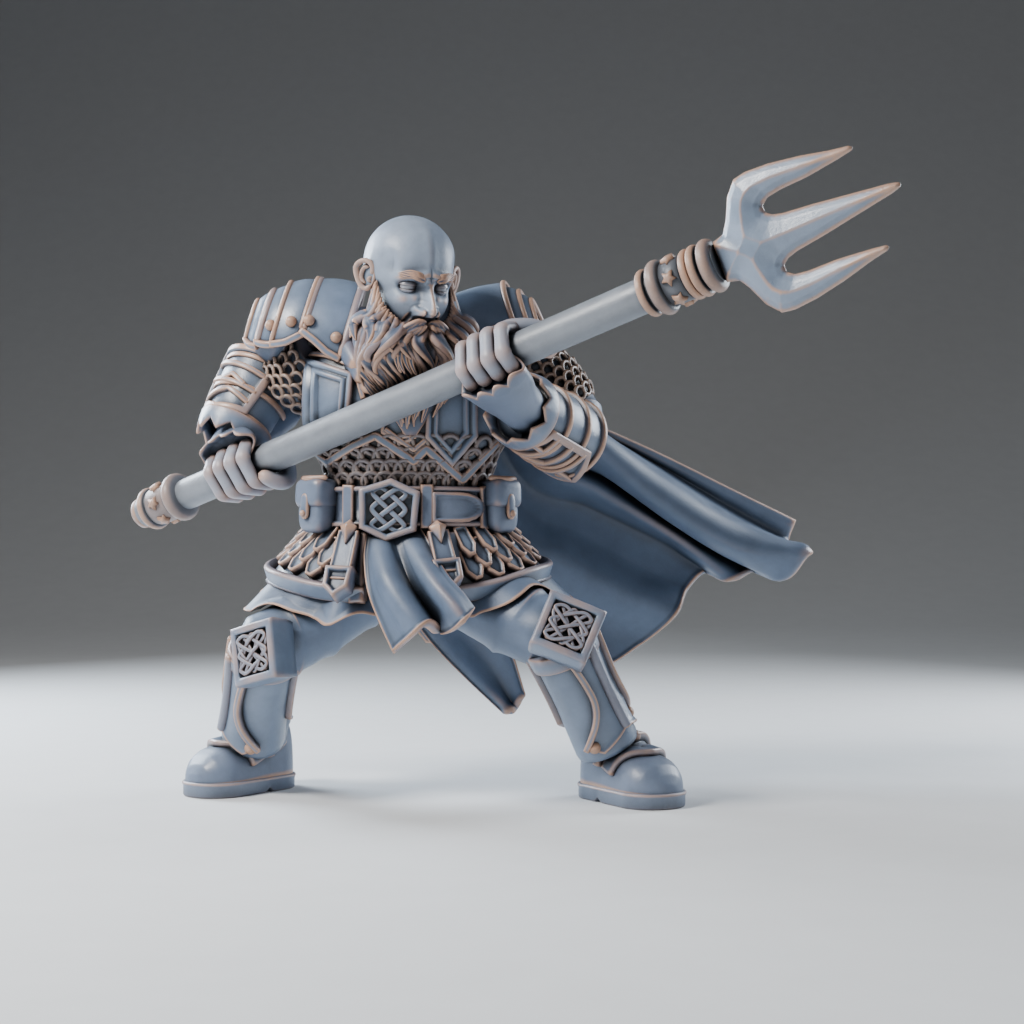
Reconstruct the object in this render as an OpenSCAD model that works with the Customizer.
// Tabletop miniature: a bald, bearded dwarf in plate armour who levels a trident, 32 mm scale.
// Every cast piece is its own solid. Cores (legs, hips, torso, arms, head) keep their full shape, and each
// outer piece is cut back from what it sits on by one glue gap, so it follows any change of size.

/* [Fit] */
// Gap left for glue between two pieces that touch
glue_gap = 0.05; // [0.03:0.01:0.12]
// Radial clearance of a locating pin in its socket
pin_clearance = 0.06; // [0.04:0.01:0.12]
// Radial clearance of the trident shaft in the fists and collars
shaft_clearance = 0.05; // [0.03:0.01:0.1]

/* [Body] */
// Half the width of the chest
chest_half_w = 4.5; // [3.8:0.1:5.4]
// Half the depth of the chest
chest_half_d = 3.1; // [2.6:0.1:3.7]
// Half the width of the belly and hips
belly_half_w = 3.6; // [3.2:0.1:4.2]
// Half the depth of the belly and hips
belly_half_d = 2.8; // [2.5:0.1:3.2]
// Radius of the skull
skull_r = 2.15; // [1.8:0.05:2.6]
// Radius of the thigh at the hip
thigh_r = 2.1; // [1.8:0.1:2.5]
// Radius of the padded knee
knee_r = 1.7; // [1.4:0.1:2.0]
// Radius of the calf
calf_r = 1.4; // [1.1:0.1:1.7]
// Radius of the upper arm
arm_r = 1.45; // [1.2:0.05:1.75]
// Radius of the forearm near the elbow
forearm_r = 1.35; // [1.1:0.05:1.6]
// Radius of the fist around the shaft
fist_r = 1.3; // [1.1:0.05:1.6]

/* [Boots] */
// Length of a boot sole
boot_len = 6.1; // [5.2:0.1:7.0]
// Width of a boot sole at the toes
boot_w = 3.2; // [2.7:0.1:3.7]
// Thickness of a sole
sole_t = 0.7; // [0.5:0.05:0.9]

/* [Armour] */
// Wall of the breastplate and the shoulder plates
plate_t = 0.45; // [0.35:0.05:0.6]
// Wall of a greave or bracer
guard_t = 0.4; // [0.3:0.05:0.55]
// Width of a raised border
rim_w = 0.35; // [0.25:0.05:0.5]
// Side of a square knee plate
knee_plate_w = 2.65; // [2.2:0.05:3.2]
// Thickness of a knee plate
knee_plate_t = 0.6; // [0.45:0.05:0.8]
// Radius of the large shoulder plate
pauldron_r = 3.3; // [2.8:0.1:3.9]
// Diameter of a rivet head
rivet_d = 0.55; // [0.4:0.05:0.7]

/* [Belt and skirts] */
// Height of the belt
belt_h = 1.8; // [1.4:0.1:2.2]
// Thickness of the belt leather
belt_t = 0.35; // [0.25:0.05:0.5]
// Width of the six-sided buckle
buckle_w = 2.7; // [2.2:0.1:3.2]
// Height of the six-sided buckle
buckle_h = 2.6; // [2.2:0.1:3.0]
// Half the width of the cloth skirt at its hem
hem_half_w = 7.8; // [6.8:0.1:8.6]
// Half the depth of the cloth skirt at its hem
hem_half_d = 4.7; // [4.2:0.1:5.4]
// Thickness of the skirt cloth
cloth_t = 0.35; // [0.3:0.05:0.5]
// Height of a pouch
pouch_h = 2.6; // [2.0:0.1:3.0]

/* [Cape] */
// Thickness of the cape
cape_t = 0.45; // [0.35:0.05:0.6]
// Depth of the cape's folds
cape_fold = 0.5; // [0.3:0.05:0.8]

/* [Trident] */
// Radius of the shaft
shaft_r = 0.76; // [0.6:0.02:0.9]
// Length of the shaft, from the butt cap's face to the trident head
shaft_len = 33.2; // [31:0.2:35]
// Length of the trident head, from its neck to the middle point
head_len = 7.9; // [6.6:0.1:9.2]
// Half the width of the trident head
head_half_w = 2.9; // [2.4:0.1:3.4]
// Thickness of the trident head at its ridge
head_t = 1.1; // [0.8:0.1:1.4]
// How far a collar ring stands out from the shaft
ring_rise = 0.42; // [0.3:0.02:0.5]

/* [Pins] */
// Radius of a large locating pin, at the waist and the cape
pin_r = 0.6; // [0.4:0.05:0.75]
// Radius of a small locating pin, at the neck, shoulders and legs
small_pin_r = 0.4; // [0.3:0.05:0.5]

/* [Hidden] */

core_fn = 16;      // facets of a core sphere
detail_fn = 12;    // facets of a small rounded shape
round_fn = 48;     // facets asked of a true cylinder or ring

// Pose of the figure: joints of the body, before the origin is moved under the middle of the whole piece.
neck_at = [0.2, 0.8, 22.4];
chest_at = [-0.2, 3.0, 19.2];
waist_at = [0, 2.6, 15.0];
pelvis_at = [0, 2.6, 11.6];
skull_at = [0.4, -2.0, 24.9];
chin_at = [1.1, -3.0, 22.2];
// Each pair is [figure's right side, figure's left side].
hip_at = [[-2.2, 2.7, 10.2], [2.4, 2.5, 10.1]];
knee_at = [[-6.2, 1.3, 7.7], [7.0, -0.6, 8.1]];
calf_at = [[-6.9, 3.0, 5.4], [8.1, 0.6, 5.6]];
ankle_at = [[-7.3, 4.8, 2.9], [9.5, 1.6, 2.9]];
boot_at = [[-7.5, 5.3, 0], [9.8, 1.9, 0]];
boot_turn = [-40, 35];
shoulder_at = [[-4.9, 3.1, 22.0], [4.9, 2.8, 21.9]];
elbow_at = [[-7.2, 5.1, 20.0], [7.8, 2.4, 17.7]];
wrist_at = [[-8.5, 3.5, 17.0], [5.6, -2.5, 18.4]];
knee_plate_at = [[-6.75, -0.85, 7.1], [7.5, -2.85, 8.3]];
knee_plate_turn = [[84, -14, -38], [66, 24, 6]];

// The shaft runs from its butt, down behind the right hip, up and forwards past the left shoulder.
shaft_butt = [-13.5, 5.6, 13.7];
shaft_yaw = -32;
shaft_pitch = 17.2;
shaft_dir = [cos(shaft_pitch) * cos(shaft_yaw), cos(shaft_pitch) * sin(shaft_yaw), sin(shaft_pitch)];
right_grip = 6.9;   // distance of the right fist along the shaft
left_grip = 22.1;   // distance of the left fist along the shaft
grip = [right_grip, left_grip];
head_roll = 10;     // turn of the trident head about the shaft
fist_at = [for (g = grip) shaft_butt + g * shaft_dir];

waist_z = 13.2;     // level where torso and hips meet, under the belt
belt_z = 13.9;      // middle of the belt
skirt_top_z = 13.5; // level where the skirts spring from the waist, inside the belt
skirt_tilt = 12;    // the skirts hang lower in front by this angle
hem_z = 9.4;        // lower edge of the cloth skirt at its sides

// Corners of the cape: behind each shoulder, at the trailing point, and low behind the right leg.
cape_right_top = [-3.4, 5.2, 23.0];
cape_left_top = [3.4, 5.2, 22.9];
cape_trail_tip = [20.5, 11.5, 13.3];
cape_low_tip = [0.5, 9.2, 7.0];

// Extent of the whole figure, which puts the origin on the ground under its middle.
front_y = shaft_butt[1] + (shaft_len + head_len) * shaft_dir[1];
back_y = 13.0;
left_x = cape_trail_tip[0];
right_x = shaft_butt[0];
origin = [(left_x + right_x) / 2, (front_y + back_y) / 2, 0];

// Colours of the paint scheme.
plate_paint = "#7f93ad";
cloth_paint = "#6f87a6";
hair_paint = "#b08a6d";
skin_paint = "#b9c4d3";
leather_paint = "#5d6a7c";
shaft_paint = "#8f959f";
trim_paint = "#b48f74";

// ---------- helpers ----------

// Ball and ellipsoid with few facets, for cores
module ball(at, r) { translate(at) sphere(r = r, $fn = core_fn); }
module egg(at, r) { translate(at) scale(r) sphere(r = 1, $fn = core_fn); }

// Rounded bar between two balls
module bar(a, ra, b, rb) {
    hull() {
        ball(a, ra);
        ball(b, rb);
    }
}

// Puts a child's +Z along the shaft at distance t from its butt
module on_shaft(t, roll = 0) {
    translate(shaft_butt + t * shaft_dir)
        rotate([0, 90 - shaft_pitch, shaft_yaw])
            rotate([0, 0, roll])
                children();
}

// Turns +Z to the direction from a to b
module aim(a, b) {
    d = b - a;
    translate(a)
        rotate([0, acos(d[2] / norm(d)), atan2(d[1], d[0])])
            children();
}

// A ring of round section, outer radius r and section radius s
module torus(r, s) {
    rotate_extrude($fn = round_fn) translate([r - s, 0]) circle(r = s, $fn = round_fn);
}

// Tips the skirts about the waist so that they hang lower in front
module in_skirt() {
    pivot = [0, pelvis_at[1], skirt_top_z];
    translate(pivot) rotate([skirt_tilt, 0, 0]) translate(-pivot) children();
}

// Elliptic frustum volume of the skirts: half-widths at the top and at the hem
module skirt_volume(top, bottom, z_top, z_bottom, fn = 36) {
    in_skirt() hull() {
        translate([0, pelvis_at[1], z_top]) scale([top[0], top[1], 1]) cylinder(r = 1, h = 0.01, $fn = fn);
        translate([0, pelvis_at[1], z_bottom])
            scale([bottom[0], bottom[1], 1]) cylinder(r = 1, h = 0.01, $fn = fn);
    }
}

// ---------- cores, each grown by g where another piece is cut from it ----------

module torso_core(g = 0) {
    hull() {
        egg(chest_at, [chest_half_w + g, chest_half_d + g, 3.2 + g]);
        egg(waist_at, [belly_half_w + g, belly_half_d + g, 3.2 + g]);
        for (s = shoulder_at) ball([s[0] * 0.8, s[1], s[2] - 0.2], 1.3 + g);
    }
    hull() {
        ball(neck_at - [0, -0.6, 1.2], 1.4 + g);
        ball(neck_at + [0.1, -1.1, 0.6], 1.25 + g);
    }
}

module hips_core(g = 0) {
    hull() {
        egg([0, waist_at[1], 13.2], [belly_half_w + g, belly_half_d + g, 1.6 + g]);
        egg(pelvis_at, [belly_half_w - 0.2 + g, belly_half_d - 0.1 + g, 2.1 + g]);
    }
}

module leg_core(i, g = 0) {
    bar(hip_at[i], thigh_r + g, knee_at[i], knee_r + g);
    bar(knee_at[i], knee_r + g, calf_at[i], calf_r + g);
    bar(calf_at[i], calf_r + g, ankle_at[i], calf_r - 0.2 + g);
}

module upper_arm_core(i, g = 0) { bar(shoulder_at[i], arm_r + g, elbow_at[i], arm_r - 0.1 + g); }
module forearm_core(i, g = 0) { bar(elbow_at[i], forearm_r + g, wrist_at[i], forearm_r - 0.35 + g); }

module arm_core(i, g = 0) {
    upper_arm_core(i, g);
    forearm_core(i, g);
}

module head_core(g = 0) {
    hull() {
        ball(skull_at, skull_r + g);
        egg(chin_at, [1.5 + g, 1.2 + g, 1.1 + g]);
    }
}

module shaft_core(g = 0) {
    on_shaft(0) cylinder(r = shaft_r + g, h = shaft_len, $fn = round_fn);
}

// Places a child in a boot's own frame: heel to toe runs along -Y, ankle over the origin
module in_boot(i) {
    translate(boot_at[i]) rotate([0, 0, boot_turn[i]]) children();
}

toe_r = boot_w / 2;
heel_r = boot_w * 0.43;
toe_y = 1.7 + toe_r - boot_len;
heel_y = 1.7 - heel_r;

module boot_core(i, g = 0) {
    in_boot(i) {
        hull() {
            egg([0, toe_y, sole_t + 0.3], [toe_r - 0.1 + g, toe_r - 0.05 + g, 1.5 + g]);
            egg([0, heel_y, sole_t + 0.3], [heel_r - 0.1 + g, heel_r - 0.05 + g, 1.2 + g]);
            egg([0, -0.3, 1.9], [1.2 + g, 1.3 + g, 1.0 + g]);
        }
        bar([0, 0, 2.1], 1.35 + g, [0, 0.05, 3.1], 1.35 + g);
    }
}

// Fist: back of the hand and curled fingers around the shaft
module fist_core(i, g = 0) {
    on_shaft(grip[i]) hull()
        for (z = [-0.95, 0.95]) translate([0, 0, z]) sphere(r = fist_r + g, $fn = core_fn);
}

// ---------- body ----------

module torso() {
    color(cloth_paint) difference() {
        torso_core();
        translate([-20, -20, waist_z - 20 + glue_gap / 2]) cube([40, 40, 20]);
        for (i = [0, 1]) upper_arm_core(i, glue_gap);
        head_core(glue_gap);
        pin_sockets();
    }
}

module hips() {
    color(cloth_paint) difference() {
        hips_core();
        translate([-20, -20, waist_z - glue_gap / 2]) cube([40, 40, 20]);
        for (i = [0, 1]) leg_core(i, glue_gap);
        pin_sockets();
    }
}

module leg(i) {
    color(cloth_paint) difference() {
        leg_core(i);
        boot_core(i, glue_gap);
        pin_sockets();
    }
}

module arm(i) {
    color(cloth_paint) difference() {
        arm_core(i);
        fist_core(i, glue_gap);
        shaft_core(shaft_clearance);
        pin_sockets();
    }
}

// Locating pins: [start, end, radius]
pins = [
    [[0, 2.6, waist_z - 1.2], [0, 2.6, waist_z + 1.2], pin_r],
    [neck_at + [0, 0.5, -1.0], neck_at + [0.1, -1.6, 1.2], small_pin_r],
    for (i = [0, 1]) let (s = shoulder_at[i]) [[s[0] * 0.45, s[1], s[2] - 0.6], s, small_pin_r],
    for (h = hip_at) [h, [h[0] * 0.9, h[1], waist_z - 0.4], small_pin_r]
];

module pin_sockets() {
    for (p = pins) aim(p[0], p[1])
        translate([0, 0, -pin_clearance])
            cylinder(r = p[2] + pin_clearance, h = norm(p[1] - p[0]) + 2 * pin_clearance, $fn = 24);
}

module locating_pins() {
    color("silver") for (p = pins) aim(p[0], p[1])
        cylinder(r = p[2], h = norm(p[1] - p[0]), $fn = round_fn);
}

module head() {
    color(skin_paint) difference() {
        union() {
            head_core();
            egg(skull_at + [1.0, -2.45, -1.9], [0.5, 0.6, 0.75]);
            egg(skull_at + [0.6, -1.75, -0.85], [1.35, 0.6, 0.35]);
            for (x = [-1, 1]) egg(skull_at + [x * skull_r * 0.98, 0.3 + x * 0.6, -0.7], [0.3, 0.45, 0.65]);
        }
        pin_sockets();
    }
}

module beard_core(g = 0) {
    hull() {
        egg(chin_at + [-0.2, 0.7, 0.3], [2.7 + g, 1.1 + g, 1.4 + g]);
        egg([0.4, -1.6, 19.8], [2.3 + g, 0.9 + g, 1.2 + g]);
    }
    hull() {
        egg([0.4, -1.6, 19.8], [2.3 + g, 0.9 + g, 1.2 + g]);
        egg([0.2, -1.2, 17.9], [1.2 + g, 0.5 + g, 0.8 + g]);
    }
}

module beard() {
    color(hair_paint) difference() {
        beard_core();
        head_core(glue_gap);
        torso_core(glue_gap);
        breastplate_core(glue_gap);
        shaft_core(shaft_clearance);
        fist_core(1, glue_gap);
    }
}

// ---------- legs and boots ----------

module boot(i) {
    color(leather_paint) difference() {
        boot_core(i);
        in_boot(i) translate([-10, -10, -5]) cube([20, 20, 5 + sole_t + glue_gap / 2]);
    }
}

module sole_outline(g = 0) {
    hull() {
        translate([0, toe_y]) circle(r = toe_r + g, $fn = round_fn);
        translate([0, heel_y]) circle(r = heel_r + g, $fn = round_fn);
    }
}

module sole(i) {
    notch = 0.35;   // depth of the step between heel and sole
    color(leather_paint) in_boot(i) difference() {
        linear_extrude(height = sole_t - glue_gap / 2) sole_outline();
        translate([-5, heel_y - heel_r - 0.3, 0]) rotate([0, 90, 0])
            cylinder(r = notch, h = 10, $fn = 4);
    }
}

module greave(i) {
    color(plate_paint) difference() {
        union() {
            bar(knee_at[i] * 0.25 + calf_at[i] * 0.75, calf_r + 0.1 + guard_t,
                ankle_at[i] + [0, 0, 0.2], calf_r - 0.15 + guard_t);
            in_boot(i) hull() {
                translate([0, -calf_r - 0.35, 3.2]) sphere(r = 0.35, $fn = detail_fn);
                translate([0, -calf_r - 0.9, 3.4 - sole_t]) sphere(r = 0.35, $fn = detail_fn);
            }
        }
        leg_core(i, glue_gap);
        boot_core(i, glue_gap);
        // open at the calf
        in_boot(i) translate([-3, 1.0, 0]) cube([6, 6, 9]);
        on_knee_plate(i) translate([-3, -3, -1]) cube([6, 6, 3]);
        bar(knee_at[i], knee_r + glue_gap, hip_at[i], knee_r);
    }
}

// Places a child on a knee plate: +Z out of the plate, +Y up the leg
module on_knee_plate(i) {
    translate(knee_plate_at[i]) rotate([0, 0, knee_plate_turn[i][2]])
        rotate([knee_plate_turn[i][0], 0, 0]) rotate([0, 0, -knee_plate_turn[i][1]])
            children();
}

module square_slab(w, z0, z1, chamfer) {
    hull() {
        translate([-w / 2, -w / 2, z0]) cube([w, w, (z1 - z0) / 2]);
        translate([-w / 2 + chamfer, -w / 2 + chamfer, z0]) cube([w - 2 * chamfer, w - 2 * chamfer, z1 - z0]);
    }
}

module knee_plate(i) {
    panel_w = knee_plate_w - 2 * rim_w - 0.2;
    color(plate_paint) difference() {
        on_knee_plate(i) square_slab(knee_plate_w, -0.9, knee_plate_t, 0.12);
        on_knee_plate(i) translate([-panel_w / 2, -panel_w / 2, knee_plate_t - 0.22]) cube([panel_w, panel_w, 1]);
        leg_core(i, glue_gap);
    }
}

// Interlace of straight ribs: two crossed pairs inside a square ring
module knot(w, t) {
    rib = w * 0.11;
    for (a = [0, 90, 180, 270]) rotate([0, 0, a]) {
        translate([-w * 0.5, w * 0.16, 0]) cube([w, rib, t]);
        translate([w * 0.5 - rib, -w * 0.34, 0]) cube([rib, w * 0.5 + rib, t]);
    }
}

module knee_knot(i) {
    knot_w = knee_plate_w - 2 * rim_w - 0.5;
    color(plate_paint) on_knee_plate(i) translate([0, 0, knee_plate_t - 0.22 + glue_gap])
        knot(knot_w, 0.3);
}

module instep_straps() {
    color(plate_paint) for (i = [0, 1]) for (row = [0, 1]) difference() {
        in_boot(i) translate([0, -0.9 - row * 0.95, 0.9 + row * 0.1]) rotate([-35, 0, 0])
            translate([-2.4, -0.3, -0.4]) cube([4.8, 0.6, 4]);
        difference() {
            in_boot(i) translate([-9, -9, -9]) cube(18);
            boot_core(i, 0.3);
        }
        boot_core(i, glue_gap);
        greave_volume(i, glue_gap);
        in_boot(i) translate([-9, -9, -9]) cube([18, 18, 9 + sole_t + glue_gap]);
        for (x = [-1, 1]) stud_at(i, x) sphere(r = rivet_d / 2 + glue_gap, $fn = detail_fn);
    }
}

module greave_volume(i, g) {
    bar(knee_at[i] * 0.25 + calf_at[i] * 0.75, calf_r + 0.1 + guard_t + g,
        ankle_at[i] + [0, 0, 0.2], calf_r - 0.15 + guard_t + g);
    in_boot(i) hull() {
        translate([0, -calf_r - 0.35, 3.2]) sphere(r = 0.35 + g, $fn = detail_fn);
        translate([0, -calf_r - 0.9, 3.4 - sole_t]) sphere(r = 0.35 + g, $fn = detail_fn);
    }
}

module stud_at(i, side) {
    in_boot(i) translate([side * (heel_r + 0.25), -0.35, 1.75]) children();
}

module boot_studs() {
    color(trim_paint) for (i = [0, 1]) for (x = [-1, 1]) difference() {
        stud_at(i, x) sphere(r = rivet_d / 2, $fn = detail_fn);
        boot_core(i, glue_gap);
        greave_volume(i, glue_gap);
    }
}

// ---------- skirts, belt and what hangs from it ----------

skirt_top = [belly_half_w + 0.3, belly_half_d + 0.3];
fauld_z = hem_z + 1.1;   // lower edge of the plate trim
fauld_top = skirt_top + [0.7, 0.7];
fauld_hem = [hem_half_w, hem_half_d + 0.25];

belt_bottom_z = belt_z - belt_h / 2;

module skirt_shape(g = 0) {
    skirt_volume(skirt_top + [g, g], [hem_half_w + g, hem_half_d + g], skirt_top_z, hem_z - g);
}

module above_skirts() {
    translate([-20, -20, belt_bottom_z - glue_gap]) cube([40, 40, 20]);
}

module skirt_shell() {
    difference() {
        skirt_shape();
        skirt_volume(skirt_top - [cloth_t, cloth_t], [hem_half_w - cloth_t, hem_half_d - cloth_t],
                     skirt_top_z + 0.02, hem_z - 0.1);
        above_skirts();
    }
}

module legs_and_hips(g) {
    hips_core(g);
    for (i = [0, 1]) leg_core(i, g);
}

module underskirt() {
    color(cloth_paint) difference() {
        skirt_shell();
        legs_and_hips(glue_gap);
        for (i = [0, 1]) on_knee_plate(i) square_slab(knee_plate_w + 2 * glue_gap, -1, knee_plate_t + 0.4, 0);
    }
}

// Scales overlap in rows round each hip, from beside the hanging straps to beside the rear cloth
scale_rows = 2;
scales_per_row = 5;
scale_step = 22;
scale_w = 1.15;
scale_l = 1.5;
scale_t = 0.3;
tabard_half_angle = 22;
first_scale = 58;

// Half-widths of the skirt at height z, and a point standing out of it
function slope_at(z) = (skirt_top_z - z) / (skirt_top_z - hem_z);
function half_w_at(z, out = 0) = mix(skirt_top[0], hem_half_w, slope_at(z)) + out;
function half_d_at(z, out = 0) = mix(skirt_top[1], hem_half_d, slope_at(z)) + out;
function on_fauld(angle, z, out = 0) =
    [half_w_at(z, out) * sin(angle), pelvis_at[1] - half_d_at(z, out) * cos(angle), z];

// Lays a child flat on the skirt: +Z out of the cloth, +Y up its slope
module on_skirt(angle, z, out = 0) {
    lean = atan(mix(hem_half_d - skirt_top[1], hem_half_w - skirt_top[0], abs(sin(angle))) / (skirt_top_z - hem_z));
    in_skirt() translate(on_fauld(angle, z, out))
        rotate([0, 0, atan2(half_d_at(z) * sin(angle), half_w_at(z) * cos(angle))])
            rotate([90 - lean, 0, 0]) children();
}

module scale_plate() {
    rotate([5, 0, 0]) linear_extrude(height = scale_t)
        polygon([[-scale_w / 2, scale_l * 0.4], [scale_w / 2, scale_l * 0.4], [scale_w / 2, -scale_l * 0.2],
                 [0, -scale_l * 0.6], [-scale_w / 2, -scale_l * 0.2]]);
}

module fauld_scales() {
    color(plate_paint) difference() {
        for (row = [0 : scale_rows - 1], k = [0 : scales_per_row - 1 - row % 2], side = [-1, 1])
            on_skirt(side * (first_scale + (k + row / 2) * scale_step), skirt_top_z - 1.45 - row * 0.65,
                     0.2 + 0.12 * (1 - row))
                scale_plate();
        skirt_shape(glue_gap);
        above_skirts();
        fauld_trim_volume(glue_gap);
        strap_ends_volume(glue_gap);
    }
}

module fauld_trim_volume(g = 0) {
    difference() {
        skirt_volume(fauld_top + [g, g], fauld_hem + [g, g], skirt_top_z, fauld_z - g);
        in_skirt() translate([-20, -20, fauld_z + 0.75 + g]) cube([40, 40, 20]);
    }
}

module front_gap(half_angle) {
    translate([0, pelvis_at[1], 0]) linear_extrude(height = 20)
        polygon([[0, 0], [-20 * sin(half_angle), -20], [20 * sin(half_angle), -20]]);
}

module fauld_trim() {
    color(plate_paint) difference() {
        fauld_trim_volume();
        skirt_shape(glue_gap);
        legs_and_hips(glue_gap);
        front_gap(tabard_half_angle + 6);
        strap_ends_volume(glue_gap);
        for (i = [0, 1]) on_knee_plate(i) square_slab(knee_plate_w + 2 * glue_gap, -1, knee_plate_t + 0.4, 0);
    }
}

strap_angles = [-42, 42];

module strap_ends_volume(g = 0) {
    for (a = strap_angles) on_skirt(a, skirt_top_z - 1.6, 0.1 - g) linear_extrude(height = 0.75 + 2 * g)
        polygon([[-0.4 - g, 1.3 + g], [0.4 + g, 1.3 + g], [0.5 + g, -0.7], [0.65 + g, -1.2], [0, -1.9 - g],
                 [-0.65 - g, -1.2], [-0.5 - g, -0.7]]);
}

module strap_ends() {
    color(leather_paint) difference() {
        strap_ends_volume();
        skirt_shape(glue_gap);
        above_skirts();
        for (i = [0, 1]) bar(hip_at[i], thigh_r + glue_gap, knee_at[i], knee_r + glue_gap);
    }
}

// Front cloth: a pleated sheet from the belt to a slanting hem
tabard_top_w = 1.5;
tabard_steps = 10;
tabard_pleat = 0.3;
tabard_top_z = belt_z - belt_h / 2 - 0.1;
tabard_top_y = pelvis_at[1] - skirt_top[1] - tabard_pleat - 0.35;
function tabard_point(u, v, out) = let (x = -0.7 + (u - 0.5) * 2 * (tabard_top_w + 0.9 * v) + 1.9 * v * v)
    [x, tabard_top_y - 1.15 * v - out + tabard_pleat * v * cos(u * 720), tabard_top_z - v * (4.3 + 0.9 * (1 - u) * v)];

// A closed sheet between two point grids, both given row by row, nu by nv points each
module sheet_solid(front, back, nu, nv) {
    n = nu * nv;
    function id(i, j) = i + j * nu;
    polyhedron(
        points = concat(front, back),
        faces = concat(
            [for (j = [0 : nv - 2], i = [0 : nu - 2]) [id(i, j), id(i + 1, j + 1), id(i, j + 1)]],
            [for (j = [0 : nv - 2], i = [0 : nu - 2]) [id(i, j), id(i + 1, j), id(i + 1, j + 1)]],
            [for (j = [0 : nv - 2], i = [0 : nu - 2]) [n + id(i, j), n + id(i, j + 1), n + id(i + 1, j + 1)]],
            [for (j = [0 : nv - 2], i = [0 : nu - 2]) [n + id(i, j), n + id(i + 1, j + 1), n + id(i + 1, j)]],
            [for (i = [0 : nu - 2]) [id(i, 0), n + id(i + 1, 0), id(i + 1, 0)]],
            [for (i = [0 : nu - 2]) [id(i, 0), n + id(i, 0), n + id(i + 1, 0)]],
            [for (i = [0 : nu - 2]) [id(i, nv - 1), id(i + 1, nv - 1), n + id(i + 1, nv - 1)]],
            [for (i = [0 : nu - 2]) [id(i, nv - 1), n + id(i + 1, nv - 1), n + id(i, nv - 1)]],
            [for (j = [0 : nv - 2]) [id(0, j), n + id(0, j + 1), n + id(0, j)]],
            [for (j = [0 : nv - 2]) [id(0, j), id(0, j + 1), n + id(0, j + 1)]],
            [for (j = [0 : nv - 2]) [id(nu - 1, j), n + id(nu - 1, j), n + id(nu - 1, j + 1)]],
            [for (j = [0 : nv - 2]) [id(nu - 1, j), n + id(nu - 1, j + 1), id(nu - 1, j + 1)]]
        )
    );
}

module tabard() {
    nu = 17;
    front = [for (j = [0 : tabard_steps], i = [0 : nu - 1]) tabard_point(i / (nu - 1), j / tabard_steps, cloth_t)];
    back = [for (j = [0 : tabard_steps], i = [0 : nu - 1]) tabard_point(i / (nu - 1), j / tabard_steps, 0)];
    color(cloth_paint) difference() {
        sheet_solid(front, back, nu, tabard_steps + 1);
        buckle_volume(glue_gap);
        strap_ends_volume(glue_gap);
    }
}

// Rear cloth: hangs from the back of the belt to a point between the calves
rear_tip = [5.1, 7.2, 3.5];
function rear_hem_z(u) = u < 0.7 ? mix(7.4, rear_tip[2], u / 0.7) : mix(rear_tip[2], 5.4, (u - 0.7) / 0.3);
function rear_point(u, v, out) =
    [mix(mix(-1.9, 2.1, u), mix(1.4, 6.6, u), v * v),
     mix(6.3, rear_tip[1], v) + 2.2 * sin(min(1, 3 * v) * 90) * (1 - v) + 0.12 * cos(u * 540) + out,
     mix(12.9, rear_hem_z(u), v)];

module rear_tabard() {
    nu = 9;
    nv = 11;
    inner = [for (j = [0 : nv - 1], i = [0 : nu - 1]) rear_point(i / (nu - 1), j / (nv - 1), 0)];
    outer = [for (j = [0 : nv - 1], i = [0 : nu - 1]) rear_point(i / (nu - 1), j / (nv - 1), cloth_t)];
    color(cloth_paint) difference() {
        sheet_solid(inner, outer, nu, nv);
        skirt_shape(glue_gap);
        fauld_trim_volume(glue_gap);
        above_skirts();
    }
}

module belt_volume(g = 0) {
    translate([0, waist_at[1], belt_bottom_z - g])
        scale([belly_half_w + glue_gap + belt_t + g, belly_half_d + glue_gap + belt_t + g, 1])
            cylinder(r = 1, h = belt_h + 2 * g, $fn = 96);
}

module belt() {
    color(leather_paint) difference() {
        belt_volume();
        translate([0, waist_at[1], 0]) scale([belly_half_w + glue_gap, belly_half_d + glue_gap, 1])
            cylinder(r = 1, h = 30, $fn = 96);
    }
}

belt_front_y = waist_at[1] - belly_half_d - belt_t;
buckle_at = [-0.75, belt_front_y, belt_z - 0.15];

// The buckle's own frame: +Z forwards out of the belt, +Y up
module in_buckle() { translate(buckle_at) rotate([90, 0, -7]) children(); }

module buckle_outline(w, h) {
    polygon([[0, h / 2], [w / 2, h * 0.3], [w / 2, -h * 0.3], [0, -h / 2], [-w / 2, -h * 0.3], [-w / 2, h * 0.3]]);
}

module buckle_volume(g = 0) {
    in_buckle() translate([0, 0, -0.2 - g]) linear_extrude(height = 0.75 + 2 * g)
        buckle_outline(buckle_w + 2 * g, buckle_h + 2 * g);
}

module buckle_frame() {
    color(plate_paint) difference() {
        buckle_volume();
        in_buckle() translate([0, 0, 0.3]) linear_extrude(height = 1)
            buckle_outline(buckle_w - 2 * rim_w, buckle_h - 2 * rim_w);
        belt_volume(glue_gap);
        skirt_shape(glue_gap);
    }
}

module buckle_knot() {
    color(plate_paint) in_buckle() translate([0, 0, 0.3 + glue_gap]) rotate([0, 0, 45])
        knot((buckle_h - 2 * rim_w) * 0.62, 0.22);
}

module belt_tongue_volume(g = 0) {
    tongue_angle = [24, 62];
    intersection() {
        difference() {
            belt_volume(0.3 + g);
            translate([0, waist_at[1], 0]) cylinder(r = 0.1, h = 30);
        }
        translate([0, waist_at[1], belt_z]) hull() {
            for (a = tongue_angle) rotate([90, 0, a]) cylinder(r = a == 62 ? 0.6 : belt_h / 2 - 0.1, h = 8, $fn = 16);
        }
    }
}

module belt_tongue() {
    color(leather_paint) difference() {
        belt_tongue_volume();
        belt_volume(glue_gap);
        torso_core(glue_gap);
        buckle_volume(glue_gap);
        pouches_volume(glue_gap);
        skirt_shape(glue_gap);
        strap_ends_volume(glue_gap);
    }
}

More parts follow.
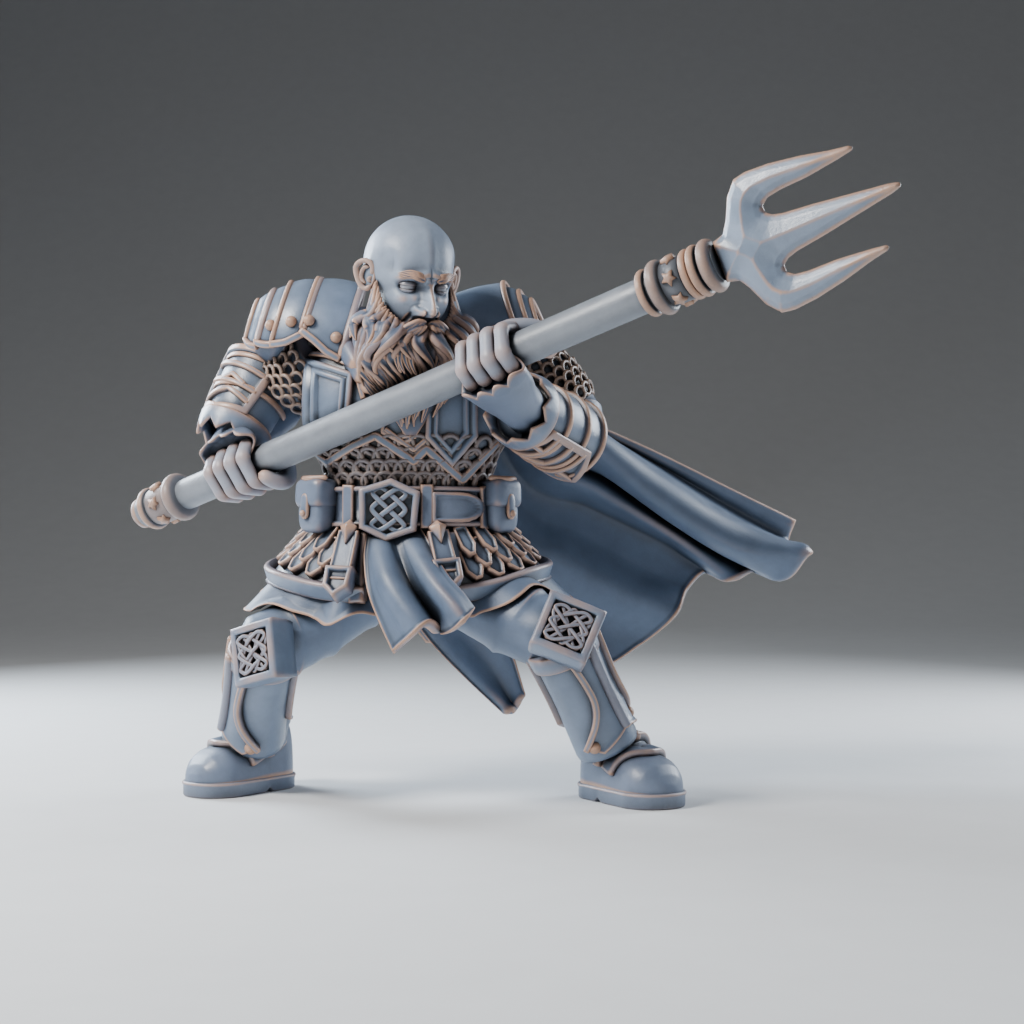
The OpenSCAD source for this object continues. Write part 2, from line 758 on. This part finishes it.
// Pouches hang beside the buckle: [angle round the waist, width]
pouch_spots = [[-62, 1.7], [62, 1.6]];

module pouch_volume(i, g = 0) {
    a = pouch_spots[i][0];
    w = pouch_spots[i][1];
    translate([(belly_half_w + 0.95) * sin(a), waist_at[1] - (belly_half_d + 0.95) * cos(a), belt_bottom_z + pouch_h / 2])
        rotate([0, 0, a]) hull() {
            for (x = [-1, 1], z = [-1, 1])
                translate([x * (w / 2 - 0.3), 0, z * (pouch_h / 2 - 0.3)]) {
                    translate([0, -0.35, 0]) sphere(r = 0.3 + g, $fn = detail_fn);
                    translate([0, 0.35, 0]) sphere(r = 0.3 + g, $fn = detail_fn);
                }
        }
}

module pouches_volume(g) { for (i = [0, 1]) pouch_volume(i, g); }

module pouch(i) {
    color(leather_paint) difference() {
        pouch_volume(i);
        belt_volume(glue_gap);
        torso_core(glue_gap);
        hips_core(glue_gap);
        breastplate_core(glue_gap);
        skirt_shape(glue_gap);
        arm_core(i, glue_gap);
        shaft_core(glue_gap);
    }
}

// ---------- torso armour ----------

// Volume of the breastplate: the chest grown by the plate, down to a V over the belly
module breastplate_core(g = 0) {
    intersection() {
        hull() {
            egg(chest_at + [0, -0.25, 0], [chest_half_w + plate_t + g, chest_half_d + plate_t + g, 3.5 + g]);
            egg(waist_at + [0, -0.1, 1.2], [belly_half_w + plate_t + g, belly_half_d + plate_t + g, 1.4 + g]);
        }
        translate([0, 20, 0]) rotate([90, 0, 0]) linear_extrude(height = 40)
            polygon([[-5.4 - g, 22.2 + g], [-5.4 - g, 17.4 - g], [-2.6, 15.9 - 1.2 * g], [0.9, 15.2 - 1.2 * g],
                     [3.0, 15.7 - 1.2 * g], [5.4 + g, 17.4 - g], [5.4 + g, 22.2 + g]]);
    }
}

module breastplate() {
    color(plate_paint) difference() {
        breastplate_core();
        torso_core(glue_gap);
        for (i = [0, 1]) arm_core(i, glue_gap);
        head_core(glue_gap);
    }
}

// Outline of a long six-sided panel, flat at the top and pointed at the foot
module panel_outline(w, h) {
    polygon([[-w / 2, h / 2], [w / 2, h / 2 - 0.25 * w], [w / 2, -h / 2 + 0.4 * w], [0, -h / 2], [-w / 2, -h / 2 + 0.3 * w]]);
}

panel_spots = [[-3.3, 18.6, -22], [2.4, 17.2, 18], [0.6, 16.4, 4]];   // x, z and turn of each panel
panel_sizes = [[2.3, 4.6], [2.2, 3.4], [1.3, 1.6]];

module chest_panels() {
    color(plate_paint) difference() {
        for (k = [0 : len(panel_spots) - 1]) {
            p = panel_spots[k];
            s = panel_sizes[k];
            translate([p[0], chest_at[1], p[1]]) rotate([90, 0, p[2]]) difference() {
                linear_extrude(height = chest_half_d + 2) panel_outline(s[0], s[1]);
                translate([0, 0, 2]) linear_extrude(height = chest_half_d + 2)
                    panel_outline(s[0] - 2 * rim_w, s[1] - 2.4 * rim_w);
            }
        }
        difference() {
            translate([-20, -20, 0]) cube([40, 40, 40]);
            breastplate_core(0.4);
        }
        breastplate_core(glue_gap);
        mail_volume(glue_gap);
        torso_core(glue_gap);
        beard_core(glue_gap);
        shaft_core(shaft_clearance + glue_gap);
        for (i = [0, 1]) arm_core(i, glue_gap);
        fist_core(1, glue_gap);
    }
}

module mail_volume(g = 0) {
    hull() egg(waist_at + [0, 0, 0.6], [belly_half_w + 0.4 + g, belly_half_d + 0.4 + g, 2.6 + g]);
}

module mail_apron() {
    color(plate_paint) difference() {
        intersection() {
            mail_volume();
            translate([-20, -20, belt_z + belt_h / 2 + glue_gap]) cube([40, 40, 3.4]);
        }
        torso_core(glue_gap);
        breastplate_core(glue_gap);
        pouches_volume(glue_gap);
        buckle_volume(glue_gap);
    }
}

module collar_mantle() {
    color(leather_paint) difference() {
        hull() {
            translate([0.1, 2.3, 21.9]) rotate([18, 0, 0]) scale([3.3, 2.9, 0.9]) sphere(r = 1, $fn = 20);
            translate([0.1, 2.0, 23.3]) rotate([24, 0, 0]) scale([2.5, 2.2, 0.8]) sphere(r = 1, $fn = 20);
        }
        torso_core(glue_gap);
        head_core(glue_gap);
        breastplate_core(glue_gap);
        beard_core(glue_gap);
        for (i = [0, 1]) upper_arm_core(i, glue_gap);
    }
}

// ---------- shoulder plates ----------

// Shoulder frame: +Z points out of the body along the shoulder's own axis
pauldron_at = [[-2.9, 3.2, 21.5], [2.8, 3.0, 21.0]];
pauldron_turn = [[0, -74, 6], [0, 70, -8]];

module in_shoulder(i) { translate(pauldron_at[i]) rotate([0, 0, pauldron_turn[i][2]]) rotate([0, pauldron_turn[i][1], 0]) children(); }

lame_rim = 0.15;   // how far a lame's border stands out

// Shell between two radii, from z0 to z1 along the shoulder's axis, with a raised rim at each end
module lame(r0, r1, z0, z1) {
    wall = plate_t;
    rotate_extrude($fn = 40) polygon([
        [r0, z0], [r0 + lame_rim, z0], [r0 + lame_rim, z0 + rim_w], [r0, z0 + rim_w + 0.05],
        [r1, z1], [r1 - wall, z1], [r0 - wall, z0]]);
}

// Everything below the arm hole, in the body's frame
module lame_mask(i, z_cut) {
    translate([-20, -20, z_cut - 20]) cube([40, 40, 20]);
}

// [inner radius, outer radius, start, end, lower edge] of each lame, from the neck outwards
right_lames = [
    [pauldron_r, pauldron_r - 0.35, 0.5, 2.5, 20.9],
    [pauldron_r - 0.5, pauldron_r - 1.0, 2.55, 3.75, 20.8],
    [pauldron_r - 1.15, pauldron_r - 1.9, 3.8, 4.8, 20.4]
];
left_lames = [
    [pauldron_r - 0.1, pauldron_r - 0.4, 0.4, 2.6, 20.9],
    [pauldron_r - 0.55, pauldron_r - 1.2, 2.65, 4.0, 20.2]
];

module pauldron_lame(i, l) {
    color(plate_paint) difference() {
        in_shoulder(i) lame(l[0], l[1], l[2], l[3]);
        lame_mask(i, l[4]);
        arm_core(i, glue_gap);
        breastplate_core(glue_gap);
        mantle_volume(glue_gap);
        cape_volume(glue_gap);
        sleeve_volume(i, glue_gap);
    }
}

module mantle_volume(g) {
    hull() {
        translate([0.1, 2.3, 21.9]) rotate([18, 0, 0]) scale([3.3 + g, 2.9 + g, 0.9 + g]) sphere(r = 1, $fn = 20);
        translate([0.1, 2.0, 23.3]) rotate([24, 0, 0]) scale([2.5 + g, 2.2 + g, 0.8 + g]) sphere(r = 1, $fn = 20);
    }
}

module pauldron_rivets() {
    // one rivet near the front lower edge of each right lame
    color(trim_paint) for (k = [0, 1, 2]) let (l = right_lames[k]) difference() {
        in_shoulder(0) rotate([0, 0, 40]) translate([-l[0] + 0.12, 0, (l[2] + l[3]) / 2 + 0.1]) sphere(r = rivet_d / 2, $fn = detail_fn);
        in_shoulder(0) lame_solid(l, glue_gap);
    }
}

module lame_solid(l, g) {
    rotate_extrude($fn = 40)
        polygon([[0, l[2] - g], [l[0] + lame_rim + g, l[2] - g], [l[0] + lame_rim + g, l[2] + rim_w + g],
                 [l[1] + g, l[3] + g], [0, l[3] + g]]);
}

// ---------- arms ----------

module sleeve_volume(i, g = 0) {
    lower = shoulder_at[i] * 0.25 + elbow_at[i] * 0.75;
    bar(shoulder_at[i], arm_r + 0.35 + g, lower, arm_r + 0.3 + g);
}

module mail_sleeve(i) {
    color(plate_paint) difference() {
        sleeve_volume(i);
        arm_core(i, glue_gap);
        torso_core(glue_gap);
        breastplate_core(0.45);
        mantle_volume(glue_gap);
        bracer_volume(i, glue_gap);
        cape_volume(glue_gap);
    }
}

module bracer_volume(i, g = 0) {
    near_elbow = elbow_at[i] * 0.92 + wrist_at[i] * 0.08;
    near_wrist = elbow_at[i] * 0.2 + wrist_at[i] * 0.8;
    aim(near_elbow, near_wrist)
        translate([0, 0, -g]) cylinder(r1 = forearm_r + guard_t + 0.3 + g, r2 = forearm_r + guard_t - 0.15 + g,
                 h = norm(near_wrist - near_elbow) + 2 * g, $fn = 8);
}

module bracer(i) {
    color(plate_paint) difference() {
        bracer_volume(i);
        arm_core(i, glue_gap);
        fist_core(i, glue_gap);
        glove_volume(i, glue_gap);
        shaft_core(glue_gap + shaft_clearance);
        torso_core(glue_gap);
        breastplate_core(0.45);
    }
}

module glove_volume(i, g = 0) {
    cuff = wrist_at[i] * 0.75 + elbow_at[i] * 0.25;
    bar(cuff, forearm_r - 0.25 + g, wrist_at[i] * 0.4 + fist_at[i] * 0.6, fist_r - 0.2 + g);
}

// The side of the fist nearer the wrist is the glove, the rest is fingers
module glove_side(i) {
    reach = wrist_at[i] - fist_at[i];
    aim(fist_at[i] + 0.35 * reach / norm(reach), wrist_at[i]) translate([-6, -6, 0]) cube([12, 12, 12]);
}

module glove(i) {
    color(leather_paint) difference() {
        union() {
            glove_volume(i);
            intersection() {
                fist_core(i);
                glove_side(i);
            }
        }
        shaft_core(shaft_clearance);
        arm_core_short(i, glue_gap);
        difference() {
            fist_core(i, glue_gap);
            glove_side(i);
        }
    }
}

// The arm ends inside the glove's cuff
module arm_core_short(i, g) { difference() { arm_core(i, g); fist_core(i, g); } }

// Four fingers wrap the shaft side by side, each a ring of round section
finger_r = 0.4;
finger_pitch = 0.7;

module fingers(i) {
    color(skin_paint) difference() {
        on_shaft(grip[i]) rotate_extrude($fn = round_fn) difference() {
            union() {
                for (k = [-1.5 : 1.5]) translate([fist_r - finger_r, k * finger_pitch]) circle(r = finger_r, $fn = 24);
                translate([0, -1.5 * finger_pitch]) square([fist_r - finger_r * 0.6, 3 * finger_pitch]);
            }
            translate([-1, -3]) square([1 + shaft_r + shaft_clearance, 6]);
        }
        glove_side(i);
    }
}

// ---------- cape ----------

cape_nu = 17;
cape_nv = 16;

function mix(a, b, t) = a * (1 - t) + b * t;
// Point at t, from 0 to 1, along a chain of evenly numbered points
function along(chain, t) = let (spans = len(chain) - 1, k = min(floor(t * spans), spans - 1))
    mix(chain[k], chain[k + 1], t * spans - k);

// The four edges of the cape
cape_top = [cape_right_top, [0, 6.2, 23.3], cape_left_top];
cape_right_edge = [cape_right_top, [-3.9, 8.1, 18.0], [-2.6, 9.0, 12.0], cape_low_tip];
cape_left_edge = [cape_left_top, [6.2, 7.9, 20.6], [9.1, 9.2, 18.5], [12.7, 10.3, 16.9], [16.6, 11.0, 15.2],
                  cape_trail_tip];
cape_hem = [cape_low_tip, [3.6, 9.3, 5.6], [6.8, 9.2, 5.2], [9.8, 9.0, 6.1], [12.4, 10.2, 8.4], [14.9, 11.0, 10.3],
            [17.5, 9.8, 10.4], [20.6, 9.4, 11.3], cape_trail_tip];

// u runs from the right edge to the trailing edge, v from the shoulders to the hem
function cape_point(u, v, out) =
    mix(along(cape_top, u), along(cape_hem, u), v) + mix(along(cape_right_edge, v), along(cape_left_edge, v), u)
    - mix(mix(cape_right_top, cape_left_top, u), mix(cape_low_tip, cape_trail_tip, u), v)
    + [0, cape_fold * v * cos(u * 720 + 40 * v) + out, 0];

module cape_volume(g = 0) {
    inner = [for (j = [0 : cape_nv - 1], i = [0 : cape_nu - 1]) cape_point(i / (cape_nu - 1), j / (cape_nv - 1), -g)];
    outer = [for (j = [0 : cape_nv - 1], i = [0 : cape_nu - 1]) cape_point(i / (cape_nu - 1), j / (cape_nv - 1), cape_t + g)];
    sheet_solid(inner, outer, cape_nu, cape_nv);
}

module cape() {
    color(cloth_paint) difference() {
        cape_volume();
        torso_core(glue_gap);
        mantle_volume(glue_gap);
        breastplate_core(glue_gap);
        skirt_shape(glue_gap);
    }
}

// ---------- trident ----------

// Where the collars sit along the shaft
butt_start = 0.5;
butt_len = 2.6;
head_collar_len = 3.3;
star_count = 6;

module bored_collar(t, len) {
    on_shaft(t) difference() {
        children();
        translate([0, 0, -1]) cylinder(r = shaft_r + shaft_clearance, h = len + 2, $fn = round_fn);
    }
}

// Five-pointed raised star on a collar's band
module star_boss(r) {
    points = 5;
    rotate([0, 90, 0]) translate([0, 0, r - 0.15]) linear_extrude(height = 0.3)
        polygon([for (k = [0 : 2 * points - 1]) let (a = 180 * k / points, q = k % 2 == 0 ? 0.52 : 0.26)
            [q * cos(a), q * sin(a)]]);
}

module collar_band(z0, len, r) {
    translate([0, 0, z0]) cylinder(r = r, h = len, $fn = round_fn);
    for (k = [0 : star_count - 1]) rotate([0, 0, 360 * k / star_count]) translate([0, 0, z0 + len / 2]) star_boss(r);
}

band_r = shaft_r + ring_rise * 0.5;
ring_r = shaft_r + ring_rise;

module butt_collar() {
    color(trim_paint) bored_collar(butt_start, butt_len) {
        collar_band(0.3, butt_len - 0.6, band_r);
        translate([0, 0, 0.3]) torus(ring_r, 0.26);
        translate([0, 0, butt_len - 0.35]) torus(ring_r + 0.1, 0.34);
    }
}

module head_collar() {
    color(trim_paint) bored_collar(shaft_len - head_collar_len - 0.2, head_collar_len) {
        translate([0, 0, 0.25]) torus(ring_r, 0.24);
        translate([0, 0, 0.3]) cylinder(r = band_r - 0.05, h = head_collar_len - 0.6, $fn = round_fn);
        translate([0, 0, 0.85]) torus(ring_r + 0.08, 0.32);
        translate([0, 0, 1.1]) collar_band(0, 0.8, band_r);
        translate([0, 0, 1.95]) cylinder(r = ring_r, h = 0.5, $fn = round_fn);
        translate([0, 0, head_collar_len - 0.3]) torus(ring_r, 0.27);
    }
}

module butt_cap() {
    // a domed button plugged into the butt of the shaft
    color(trim_paint) on_shaft(-0.05) {
        translate([0, 0, -0.25]) cylinder(r1 = shaft_r * 0.75, r2 = shaft_r + 0.05, h = 0.25, $fn = round_fn);
        cylinder(r = small_pin_r, h = 1.0, $fn = round_fn);
    }
}

tang_len = 1.4;

module trident_shaft() {
    color(shaft_paint) on_shaft(0) difference() {
        cylinder(r = shaft_r, h = shaft_len, $fn = round_fn);
        translate([0, 0, -1]) cylinder(r = small_pin_r + pin_clearance, h = 2.1, $fn = round_fn);
        translate([0, 0, shaft_len - tang_len]) cylinder(r = small_pin_r + pin_clearance, h = 3, $fn = round_fn);
    }
}

// Half outline of the head: half-width x at distance y from the neck
module trident_outline() {
    w = head_half_w;
    l = head_len;
    for (side = [-1, 1]) scale([side, 1]) polygon([
        [0, 0], [0.85, 0], [1.15, 0.7], [w * 0.9, 1.45], [w, 1.95], [w * 0.97, 3.4], [w * 0.74, l * 0.845],
        [w * 0.68, l * 0.835], [w * 0.56, 4.4], [w * 0.58, 3.2], [w * 0.5, 2.6], [w * 0.36, 2.55],
        [w * 0.27, 3.0], [w * 0.24, 4.0], [0.05, l], [0, l]]);
}

module trident_head() {
    color(plate_paint) on_shaft(shaft_len + glue_gap, head_roll) {
        // the outline thins to its points: it is cut by a long wedge on each face
        intersection() {
            rotate([90, 0, 0]) linear_extrude(height = head_t, center = true) trident_outline();
            hull() {
                translate([-head_half_w - 1, -head_t / 2, -0.1]) cube([2 * head_half_w + 2, head_t, 1.5]);
                translate([-head_half_w - 1, -0.12, head_len]) cube([2 * head_half_w + 2, 0.24, 0.1]);
            }
        }
        translate([0, 0, -tang_len + 0.1 - glue_gap]) cylinder(r = small_pin_r, h = tang_len, $fn = round_fn);
    }
}

// ---------- one call for each node ----------

module place() { translate(-origin) children(); }

place() torso();
place() hips();
place() leg(0);  // right_leg
place() leg(1);  // left_leg
place() boot(0);  // right_boot
place() boot(1);  // left_boot
place() sole(0);  // right_sole
place() sole(1);  // left_sole
place() greave(0);  // right_greave
place() greave(1);  // left_greave
place() knee_plate(0);  // right_knee_plate
place() knee_plate(1);  // left_knee_plate
place() knee_knot(0);  // right_knee_knot
place() knee_knot(1);  // left_knee_knot
place() instep_straps();
place() boot_studs();
place() underskirt();
place() fauld_scales();
place() fauld_trim();
place() strap_ends();
place() tabard();
place() rear_tabard();
place() belt();
place() belt_tongue();
place() buckle_frame();
place() buckle_knot();
place() pouch(0);  // right_pouch
place() pouch(1);  // left_pouch
place() mail_apron();
place() breastplate();
place() chest_panels();
place() collar_mantle();
place() pauldron_lame(0, right_lames[0]);  // right_pauldron_upper
place() pauldron_lame(0, right_lames[1]);  // right_pauldron_middle
place() pauldron_lame(0, right_lames[2]);  // right_pauldron_lower
place() pauldron_lame(1, left_lames[0]);  // left_pauldron_upper
place() pauldron_lame(1, left_lames[1]);  // left_pauldron_lower
place() pauldron_rivets();
place() arm(0);  // right_arm
place() arm(1);  // left_arm
place() mail_sleeve(0);  // right_mail_sleeve
place() mail_sleeve(1);  // left_mail_sleeve
place() bracer(0);  // right_bracer
place() bracer(1);  // left_bracer
place() glove(0);  // right_glove
place() glove(1);  // left_glove
place() fingers(0);  // right_fingers
place() fingers(1);  // left_fingers
place() head();
place() beard();
place() cape();
place() trident_shaft();
place() butt_cap();
place() butt_collar();
place() head_collar();
place() trident_head();
place() locating_pins();
